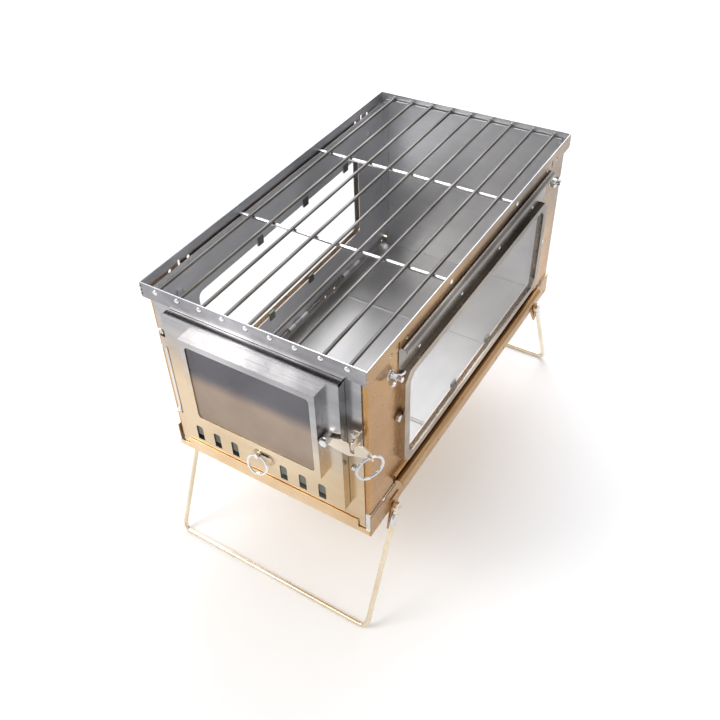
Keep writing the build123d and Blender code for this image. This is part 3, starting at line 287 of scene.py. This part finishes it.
# Grate bands on the long sides take the side sheet's painted golden reflection and painted shade outside, and stay
# silver inside
band_side_titanium = metal(
    "rolled_titanium_side_band",
    [(0.3, "#9A7850"), (0.5, "#A9865C"), (0.7, "#B8966C")],
    (12, 60, 12),
    (0.2, 0.3),
    bump=0.01,
    wave=0.05,
    inside=[(0.3, "#A5A6AA"), (0.5, "#B8B9BD"), (0.7, "#CBCCD0")],
    drift=((0, 0.6, 0.8), 0.22, 0.33, side_shade),
)
# Base tray, grey on its floor and golden on its walls and lips as a painted reflection, a darker golden brown on its
# side lips as painted shade
tray_titanium = metal(
    "polished_titanium_tray",
    [(0.3, "#D6B78F"), (0.5, "#E0C39C"), (0.7, "#E8CFAC")],
    (12, 60, 12),
    (0.26, 0.36),
    bump=0.01,
    wave=0.03,
    inside=[(0.3, "#A9A7A5"), (0.5, "#B5B3B1"), (0.7, "#C2C0BE")],
    skin=(0.1137, 0.2095, 1),
    drift=((1, 0, 0), 0.1125, 0.1135, [(0.3, "#A98560"), (0.5, "#B8946B"), (0.7, "#C4A27A")]),
)
# Window frames, pressed deep, darker up towards the rear as painted shade
frame_titanium = metal(
    "pressed_titanium_frame",
    [(0.3, "#8F8273"), (0.5, "#AC9F8F"), (0.7, "#C8BEAF")],
    (30, 30, 12),
    (0.2, 0.3),
    bump=0.02,
    wave=0.2,
    drift=((0, 0.6, 0.8), 0.13, 0.3, [(0.3, "#554E46"), (0.5, "#71695E"), (0.7, "#918677")]),
)
# Latch lever and its catch, pressed and tumbled
latch_titanium = metal(
    "pressed_titanium_latch",
    [(0.3, "#C9BBA8"), (0.5, "#DDD2C3"), (0.7, "#EFE9E0")],
    (30, 12, 30),
    (0.16, 0.28),
    bump=0.02,
)
# Rolled rails and fold rods, dark grey all over as a painted dark reflection
rail_titanium = metal(
    "rolled_titanium_rail",
    [(0.3, "#6A6560"), (0.5, "#8B857F"), (0.7, "#AFA9A3")],
    (3, 60, 2),
    (0.2, 0.32),
    bump=0.04,
)
# Air slider, its guides and the hidden glass clips: dull dark grey green, the dark a painted shade for the slider
# behind the slots
sooted_titanium = metal(
    "sooted_titanium",
    [(0.3, "#5C5F58"), (0.5, "#6E716A"), (0.7, "#82857D")],
    (20, 20, 20),
    (0.4, 0.55),
    bump=0.02,
    wave=0.0,
)
# Front and rear bands of the grate, rolled bright, and brighter still inside as painted light
band_titanium = metal(
    "bright_titanium_band",
    [(0.3, "#78777A"), (0.5, "#919093"), (0.7, "#B2B1B4")],
    (12, 12, 6),
    (0.14, 0.28),
    wave=0.3,
    bump=0.04,
    inside=[(0.3, "#DDDEE1"), (0.5, "#EAEBED"), (0.7, "#F6F7F8")],
)
# Drawn titanium rod of the grate, with fine draw lines and scale left on it
rod_titanium = metal(
    "drawn_titanium_rod",
    [(0.3, "#5F5B57"), (0.5, "#76726E"), (0.7, "#8F8B87")],
    (4, 30, 4),
    (0.26, 0.38),
    wave=0.0,
)
# Cross rods and the hammered ends of all the rods, left bright
hammered_titanium = metal(
    "hammered_titanium",
    [(0.3, "#C9C8CB"), (0.5, "#E4E3E5"), (0.7, "#FAFAFB")],
    (2.5, 2.5, 2.5),
    (0.12, 0.3),
    bump=0.5,
    wave=0.0,
)
# Wire of the legs, drawn, in a warm cream tint
leg_titanium = metal(
    "drawn_titanium_wire",
    [(0.3, "#DCCBAF"), (0.5, "#EADDC6"), (0.7, "#F6EEDF")],
    (20, 20, 20),
    (0.2, 0.34),
    wave=0.0,
)
# Turned stainless hardware, tumbled bright
bright_steel = metal(
    "tumbled_stainless_steel",
    [(0.3, "#C2C2C5"), (0.5, "#D9D9DC"), (0.7, "#F2F2F4")],
    (1.2, 1.2, 1.2),
    (0.08, 0.18),
    bump=0.04,
    wave=0.0,
)
# Side panes: clear flat glass ceramic, with a faint grey cast
clear_glass = glass("clear_glass_ceramic", [(0.3, "#E6E4E2"), (0.7, "#F2F1EF")], 0.1, 0.04)
# Door pane: the same, brown, and darker at its top as painted shade
smoked_glass = glass(
    "smoked_glass_ceramic",
    [(0.3, "#94806F"), (0.7, "#A8937F")],
    0.8,
    0.03,
    soot=(0.254, 0.272, [(0.3, "#4B4850"), (0.7, "#5E5A60")]),
)

finishes = {
    golden_front: ("front_panel", "rear_panel", "hinge_ears"),
    golden_door: ("door_plate", "door_glass_frame"),
    golden_side: ("right_panel", "left_panel", "leg_brackets"),
    tray_titanium: ("base_tray",),
    frame_titanium: ("right_window_frame", "left_window_frame"),
    latch_titanium: ("catch_tongue", "latch_lever"),
    rail_titanium: ("right_top_rail", "left_top_rail", "right_fold_rod", "left_fold_rod"),
    sooted_titanium: (
        "air_slider",
        "slider_guides",
        "door_glass_clips",
        "right_glass_clips",
        "left_glass_clips",
    ),
    band_titanium: ("front_band", "rear_band"),
    band_side_titanium: ("right_band", "left_band"),
    rod_titanium: ("long_rods", "cross_rods"),
    leg_titanium: ("front_leg", "rear_leg", "front_ferrules", "rear_ferrules"),
    bright_steel: (
        "front_rivets",
        "hinge_rod",
        "latch_stop",
        "latch_bolt",
        "latch_washers",
        "latch_ring",
        "slider_post",
        "pull_ring",
        "right_rail_rivets",
        "left_rail_rivets",
        "right_wing_studs",
        "left_wing_studs",
        "right_wing_washers",
        "left_wing_washers",
        "right_small_screws",
        "left_small_screws",
        "leg_pivot_pins",
        "right_front_wing_nut",
        "right_rear_wing_nut",
        "left_front_wing_nut",
        "left_rear_wing_nut",
    ),
    clear_glass: ("right_glass", "left_glass"),
    smoked_glass: ("door_glass",),
}
for material, names in finishes.items():
    for name in names:
        mesh = nodes[name].data
        mesh.materials.clear()
        mesh.materials.append(material)


def piece(name, bm, body, material):
    """Turns a bmesh into a finished piece that rides on a body."""
    bmesh.ops.recalc_face_normals(bm, faces=bm.faces[:])
    mesh = bpy.data.meshes.new(name)
    bm.to_mesh(mesh)
    bm.free()
    mesh.shade_smooth()
    mesh.set_sharp_from_angle(angle=radians(40))
    mesh.materials.append(material)
    made = bpy.data.objects.new(name, mesh)
    bpy.context.scene.collection.objects.link(made)
    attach(made, body)
    return made


# Split rings, two turns of flattened spring wire lying side by side
ring_wire = 0.0012
ring_flatten = (0.95, 0.44, 1.0, 1.0)
coil_pitch = 0.0011
ring_steps = 56
ring_yaw = radians(58)
ring_tilt = radians(12)


def split_ring(name, node, body, axis, hang):
    """A two-turn ring in the place of the CAD one.

    axis is square to the ring, and hang points from its middle to the hole that carries it.
    """
    axis = Vector(axis).normalized()
    hang = Vector(hang).normalized()
    low, high = (Vector(corner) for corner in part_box(node))
    middle = (low + high) / 2
    radius = (high - low).z / (2 * abs(hang.z)) - ring_wire
    bm = bmesh.new()
    bmesh.ops.create_circle(bm, cap_ends=True, segments=12, radius=ring_wire)
    # The circle's own x goes to the radial direction and y along the axis, flattened
    turn = Matrix((hang, axis, hang.cross(axis))).transposed().to_4x4()
    start = middle - hang * radius - axis * coil_pitch
    place = Matrix.Translation(start) @ turn @ Matrix.Diagonal(ring_flatten)
    bmesh.ops.transform(bm, matrix=place, verts=bm.verts[:])
    bmesh.ops.spin(
        bm,
        geom=bm.verts[:] + bm.edges[:] + bm.faces[:],
        cent=middle,
        axis=axis,
        dvec=axis * coil_pitch / ring_steps,
        angle=4 * pi,
        steps=2 * ring_steps,
        use_merge=False,
        use_duplicate=False,
    )
    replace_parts(piece(name, bm, body, bright_steel), node)


split_ring("latch_split_ring", "latch_ring", "latch_ring", (sin(ring_yaw), -cos(ring_yaw), 0), (0, 0, 1))
split_ring(
    "pull_split_ring",
    "pull_ring",
    "pull_ring",
    (0, cos(ring_tilt), -sin(ring_tilt)),
    (0, sin(ring_tilt), cos(ring_tilt)),
)


# Two points nearer than this along a bar are at the same end of it
same_place = 1e-6


def round_bar(bm, start, end, radius, tip=None, sides=24):
    """A closed round bar between two points, or a taper down to the tip radius."""
    start, end = Vector(start), Vector(end)
    turn = Vector((0, 0, 1)).rotation_difference(end - start).to_matrix().to_4x4()
    return bmesh.ops.create_cone(
        bm,
        cap_ends=True,
        segments=sides,
        radius1=radius,
        radius2=radius if tip is None else tip,
        depth=(end - start).length,
        matrix=Matrix.Translation((start + end) / 2) @ turn,
    )["verts"]


def round_rims(bm, bar, way, offset, segments):
    """Rounds the rims of a bar or disc, whose edges are square to its way."""
    own = set(bar)
    rims = [
        edge
        for edge in bm.edges
        if own.issuperset(edge.verts) and abs((edge.verts[0].co - edge.verts[1].co).dot(way)) < same_place
    ]
    bmesh.ops.bevel(bm, geom=rims, offset=offset, segments=segments, profile=0.5, affect="EDGES", material=-1)


def low_dome(bm, centre, radius, proud, axis, segments=20):
    """A low dome, flattened along one axis, such as a rivet's or a hammered rod end's."""
    dome = bmesh.ops.create_uvsphere(bm, u_segments=segments, v_segments=segments // 2, radius=radius)["verts"]
    squash = [proud / radius if i == axis else 1.0 for i in range(3)]
    bmesh.ops.scale(bm, vec=squash, verts=dome)
    bmesh.ops.translate(bm, vec=centre, verts=dome)


def bent_wire(bm, corners, radius, bend, sides=20, steps=10):
    """One round wire through corner points, each corner a smooth bend."""
    corners = [Vector(corner) for corner in corners]
    way = (corners[1] - corners[0]).normalized()
    turn = Vector((0, 0, 1)).rotation_difference(way).to_matrix().to_4x4()
    end = bmesh.ops.create_circle(
        bm, cap_ends=True, segments=sides, radius=radius, matrix=Matrix.Translation(corners[0]) @ turn
    )["verts"][0].link_faces[0]
    here = corners[0]
    for i in range(1, len(corners)):
        way = (corners[i] - corners[i - 1]).normalized()
        last = i == len(corners) - 1
        onward = way if last else (corners[i + 1] - corners[i]).normalized()
        angle = 0.0 if last else way.angle(onward)
        stop = corners[i] - way * bend * tan(angle / 2)
        before = end
        grown = bmesh.ops.extrude_face_region(bm, geom=[before])["geom"]
        end = [part for part in grown if isinstance(part, bmesh.types.BMFace)][0]
        # A bend leaves its last face behind, inside the wire
        if i > 1 and before.is_valid:
            bmesh.ops.delete(bm, geom=[before], context="FACES_ONLY")
        bmesh.ops.translate(bm, vec=stop - here, verts=end.verts[:])
        here = stop
        if not last:
            pole = way.cross(onward).normalized()
            centre = stop + pole.cross(way) * bend
            grown = bmesh.ops.spin(
                bm,
                geom=[end] + end.edges[:] + end.verts[:],
                cent=centre,
                axis=pole,
                dvec=(0, 0, 0),
                angle=angle,
                steps=steps,
                use_merge=False,
                use_duplicate=False,
            )["geom_last"]
            end = [part for part in grown if isinstance(part, bmesh.types.BMFace)][0]
            here = centre + Matrix.Rotation(angle, 3, pole) @ (stop - centre)


# Rods of the grate, round, with their ends peened over the band
rod_radius = 0.00175
rod_level = 0.333
rod_pitch = 0.0245
rods = [i * rod_pitch for i in range(-4, 5)]
cross_level = 0.32945
cross_rods = (-0.0705, 0.0705)
band_end = 0.212
band_side = 0.116
long_head, long_proud = 0.0029, 0.0015
cross_head, cross_proud = 0.0026, 0.0012
bm = bmesh.new()
for x in rods:
    round_bar(bm, (x, -band_end, rod_level), (x, band_end, rod_level), rod_radius)
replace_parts(piece("grate_long_rods", bm, "grate", rod_titanium), "long_rods")
bm = bmesh.new()
for y in cross_rods:
    round_bar(bm, (-band_side, y, cross_level), (band_side, y, cross_level), rod_radius)
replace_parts(piece("grate_cross_rods", bm, "grate", hammered_titanium), "cross_rods")
bm = bmesh.new()
for hand in (-1, 1):
    for x in rods:
        low_dome(bm, (x, hand * band_end, rod_level), long_head, long_proud, 1)
    for y in cross_rods:
        low_dome(bm, (hand * band_side, y, cross_level), cross_head, cross_proud, 0)
piece("grate_peened_heads", bm, "grate", hammered_titanium)

# Legs: a wire bail with flattened ends, and a sleeve on each end
leg_side = 0.119
pivot_place = 0.1705
pivot_level = 0.1306
foot_place = 0.2315
wire_radius = 0.0025
wire_bend = 0.009
eye_radius, eye_half, eye_rim = 0.005, 0.0027, 0.0009
sleeve_start, sleeve_length, sleeve_radius, sleeve_rim = 0.0075, 0.013, 0.003, 0.0004
for name, hand in (("front", -1), ("rear", 1)):
    bm = bmesh.new()
    high = [(side * leg_side, hand * pivot_place, pivot_level) for side in (1, -1)]
    low = [(side * leg_side, hand * foot_place, wire_radius) for side in (1, -1)]
    bent_wire(bm, (high[0], low[0], low[1], high[1]), wire_radius, wire_bend)
    for x, y, z in high:
        eye = round_bar(bm, (x - eye_half, y, z), (x + eye_half, y, z), eye_radius, sides=32)
        round_rims(bm, eye, Vector((1, 0, 0)), eye_rim, 3)
    body = name + "_legs"
    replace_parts(piece(name + "_wire_leg", bm, body, leg_titanium), name + "_leg")
    bm = bmesh.new()
    for top, foot in zip(high, low):
        way = (Vector(foot) - Vector(top)).normalized()
        start = Vector(top) + way * sleeve_start
        sleeve = round_bar(bm, start, start + way * sleeve_length, sleeve_radius)
        round_rims(bm, sleeve, way, sleeve_rim, 2)
    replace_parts(piece(name + "_leg_sleeves", bm, body, bright_steel), name + "_ferrules")

# Parts of one solid overlap by this much where a wider one meets a narrower one
lap = 0.0001

# Pivot pins of the legs, with their heads outside
pin_inner, pin_outer, pin_radius = 0.1136, 0.1218, 0.0015
pin_head_outer, pin_head_radius, pin_head_tip = 0.1229, 0.0024, 0.0016
bm = bmesh.new()
for hand in (-1, 1):
    for y in (-pivot_place, pivot_place):
        inner, outer, face = ((hand * x, y, pivot_level) for x in (pin_inner, pin_outer, pin_head_outer))
        head = (hand * (pin_outer - lap), y, pivot_level)
        round_bar(bm, inner, outer, pin_radius)
        round_bar(bm, head, face, pin_head_radius, pin_head_tip)
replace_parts(piece("leg_pivots", bm, "stove", bright_steel), "leg_pivot_pins")

# Hinge pin of the door, bent over at its top
hinge_x, hinge_y = -0.098, -0.214
hinge_low, hinge_high = 0.175, 0.291
hinge_hook = 0.0055
hinge_radius, hinge_bend = 0.0015, 0.0022
bm = bmesh.new()
bent_wire(
    bm,
    (
        (hinge_x, hinge_y, hinge_low),
        (hinge_x, hinge_y, hinge_high),
        (hinge_x - hinge_hook, hinge_y, hinge_high),
    ),
    hinge_radius,
    hinge_bend,
)
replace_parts(piece("door_hinge_pin", bm, "stove", bright_steel), "hinge_rod")

# Wing nuts, cast: a tapered hub, and two ears that lean outward
nut_place = 0.172
nut_level = 0.301
nut_seat = 0.11385
flange_height = 0.0018
flange_radius = 0.0044
hub_radius, hub_tip, hub_height = 0.96 * flange_radius, 0.0034, 0.006
ear_radius, ear_depth, ear_rim = 0.0032, 0.0019, 0.0006
ear_stretch = (1.45, 1.0, 1.0, 1.0)
ear_lean = radians(32)
ear_reach = (0.0068, 0.0052, 0)
ear_shape = Matrix.Translation(ear_reach) @ Matrix.Rotation(ear_lean, 4, "Z") @ Matrix.Diagonal(ear_stretch)
for side, hand in (("right", 1), ("left", -1)):
    for end, y in (("front", -nut_place), ("rear", nut_place)):
        bm = bmesh.new()
        seat = Vector((hand * nut_seat, y, nut_level))
        out = Vector((hand, 0, 0))
        round_bar(bm, seat, seat + out * flange_height, flange_radius, sides=32)
        round_bar(bm, seat + out * (flange_height - lap), seat + out * hub_height, hub_radius, hub_tip, sides=32)
        for way in (-1, 1):
            others = set(bm.verts)
            ear = bmesh.ops.create_cone(
                bm, cap_ends=True, segments=36, radius1=ear_radius, radius2=ear_radius, depth=ear_depth
            )["verts"]
            round_rims(bm, ear, Vector((0, 0, 1)), ear_rim, 3)
            ear = [vert for vert in bm.verts if vert not in others]
            # The ear's own x goes sideways along the wall, and its y outward
            lay = Matrix(((0, hand, 0), (way, 0, 0), (0, 0, 1))).to_4x4()
            bmesh.ops.transform(bm, matrix=Matrix.Translation(seat) @ lay @ ear_shape, verts=ear)
        name = side + "_" + end
        made = piece(name + "_nut_with_ears", bm, name + "_nut", bright_steel)
        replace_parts(made, name + "_wing_nut")

# Washers, rivets and thumb screws, turned round
washer_inner, washer_outer = 0.113, 0.1138
washer_radius, washer_tip = 0.0052, 0.005
rivet_level = 0.2953
rivets = (-0.123, -0.041, 0.041, 0.123)
rivet_inner, rivet_outer = 0.1138, 0.1143
rivet_radius, rivet_tip, rivet_proud = 0.00195, 0.0018, 0.00054
screws = ((-0.1605, 0.241), (0.1615, 0.229))
shank_inner, shank_outer, shank_radius = 0.1112, 0.114, 0.0015
screw_outer, screw_radius, screw_rim = 0.1171, 0.0036, 0.0005
for side, hand in (("right", 1), ("left", -1)):
    body = side + "_side"
    bm = bmesh.new()
    for y in (-nut_place, nut_place):
        inner, outer = ((hand * x, y, nut_level) for x in (washer_inner, washer_outer))
        round_bar(bm, inner, outer, washer_radius, washer_tip, sides=36)
    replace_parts(piece(side + "_nut_washers", bm, body, bright_steel), side + "_wing_washers")
    bm = bmesh.new()
    for y in rivets:
        inner, outer = ((hand * x, y, rivet_level) for x in (rivet_inner, rivet_outer))
        round_bar(bm, inner, outer, rivet_radius, rivet_tip)
        low_dome(bm, (hand * (rivet_outer - lap), y, rivet_level), rivet_tip, rivet_proud, 0, 24)
    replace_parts(piece(side + "_rail_domes", bm, body, bright_steel), side + "_rail_rivets")
    bm = bmesh.new()
    for y, z in screws:
        round_bar(bm, (hand * shank_inner, y, z), (hand * shank_outer, y, z), shank_radius)
        head = round_bar(bm, (hand * (shank_outer - lap), y, z), (hand * screw_outer, y, z), screw_radius, sides=36)
        round_rims(bm, head, Vector((1, 0, 0)), screw_rim, 2)
    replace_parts(piece(side + "_thumb_screws", bm, body, bright_steel), side + "_small_screws")

# Stop stud of the latch, its end tapered
stop_x, stop_level = 0.0983, 0.2147
stop_root, stop_shoulder, stop_end = -0.209, -0.2108, -0.2116
stop_radius, stop_neck, stop_tip = 0.0024, 0.0023, 0.0015
root, shoulder, step, end = (
    (stop_x, y, stop_level) for y in (stop_root, stop_shoulder, stop_shoulder + lap, stop_end)
)
bm = bmesh.new()
round_bar(bm, root, shoulder, stop_radius, sides=32)
round_bar(bm, step, end, stop_neck, stop_tip, sides=32)
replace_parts(piece("latch_stop_stud", bm, "stove", bright_steel), "latch_stop")

# Plain pale floor of matt paper
floor_half = 3.0
bm = bmesh.new()
bmesh.ops.create_grid(bm, x_segments=1, y_segments=1, size=floor_half)
mesh = bpy.data.meshes.new("studio_floor")
bm.to_mesh(mesh)
bm.free()
floor = bpy.data.objects.new("studio_floor", mesh)
bpy.context.scene.collection.objects.link(floor)
card = bpy.data.materials.new("matt_paper")
card.use_nodes = True
paper = card.node_tree.nodes["Principled BSDF"]
paper.inputs["Base Color"].default_value = linear("#FBFBFB")
paper.inputs["Roughness"].default_value = 0.9
mesh.materials.append(card)

# Soft studio light: a pale room, a key from the front left, a large panel over the rear left, a fill from the right
world = bpy.data.worlds.new("pale_room")
bpy.context.scene.world = world
world.use_nodes = True
room = world.node_tree
room.nodes.clear()
direction = add(room, "ShaderNodeTexCoord").outputs["Generated"]
height = add(room, "ShaderNodeSeparateXYZ", links={0: direction}).outputs["Z"]
sky = ramp(room, height, [(0.0, "#E4E3E2"), (0.3, "#CDCED2"), (0.6, "#E6E8EB"), (1.0, "#F7F8FA")])
backdrop = add(room, "ShaderNodeBackground", {"Strength": 0.95}, {"Color": sky})
add(room, "ShaderNodeOutputWorld", links={"Surface": backdrop.outputs[0]})


def softbox(name, place, aim, size, power, colour):
    """A square light panel aimed at a point."""
    lamp = bpy.data.lights.new(name, "AREA")
    lamp.shape = "SQUARE"
    lamp.size = size
    lamp.energy = power
    lamp.color = linear(colour)[:3]
    panel = bpy.data.objects.new(name, lamp)
    panel.location = place
    panel.rotation_euler = (Vector(aim) - Vector(place)).to_track_quat("-Z", "Y").to_euler()
    bpy.context.scene.collection.objects.link(panel)


softbox("key_panel", (-1.1, -1.3, 1.5), (0, 0, 0.2), 0.9, 18, "#FFFBF5")
softbox("sky_panel", (-0.5, 1.3, 1.5), (0, 0, 0.2), 1.4, 20, "#F7F9FF")
softbox("side_panel", (1.6, -0.1, 0.7), (0, 0, 0.22), 0.8, 4, "#FFF8EE")

# Camera, fitted to the stove's corners in the photograph: angles in radians, lengths in metres
azimuth = 0.6247650060578956
elevation = 0.7251198661880173
roll = -0.07301271750971194
distance = 1.0296147
slide_right, slide_up = -0.06946743, 0.11216274
# Focal length, width and optical centre of the picture in pixels, and the sensor's width in millimetres
focal_pixels = 832.0404
picture = 720
centre_x, centre_y = 323.4738, 345.2902
sensor = 36
back = Vector((sin(azimuth) * cos(elevation), -cos(azimuth) * cos(elevation), sin(elevation)))
level = Vector((cos(azimuth), sin(azimuth), 0))
upright = back.cross(level)
right = level * cos(roll) + upright * sin(roll)
up = upright * cos(roll) - level * sin(roll)
lens = bpy.data.cameras.new("photo_camera")
lens.sensor_width = sensor
lens.lens = focal_pixels * sensor / picture
lens.shift_x = (picture / 2 - centre_x) / picture
lens.shift_y = -(picture / 2 - centre_y) / picture
lens.clip_start = 0.05
lens.clip_end = 20
camera = bpy.data.objects.new("photo_camera", lens)
frame_of_camera = Matrix((right, up, back)).transposed().to_4x4()
camera.matrix_world = Matrix.Translation(back * distance + right * slide_right + up * slide_up) @ frame_of_camera
bpy.context.scene.collection.objects.link(camera)
bpy.context.scene.camera = camera
bpy.context.scene.view_settings.view_transform = "Standard"
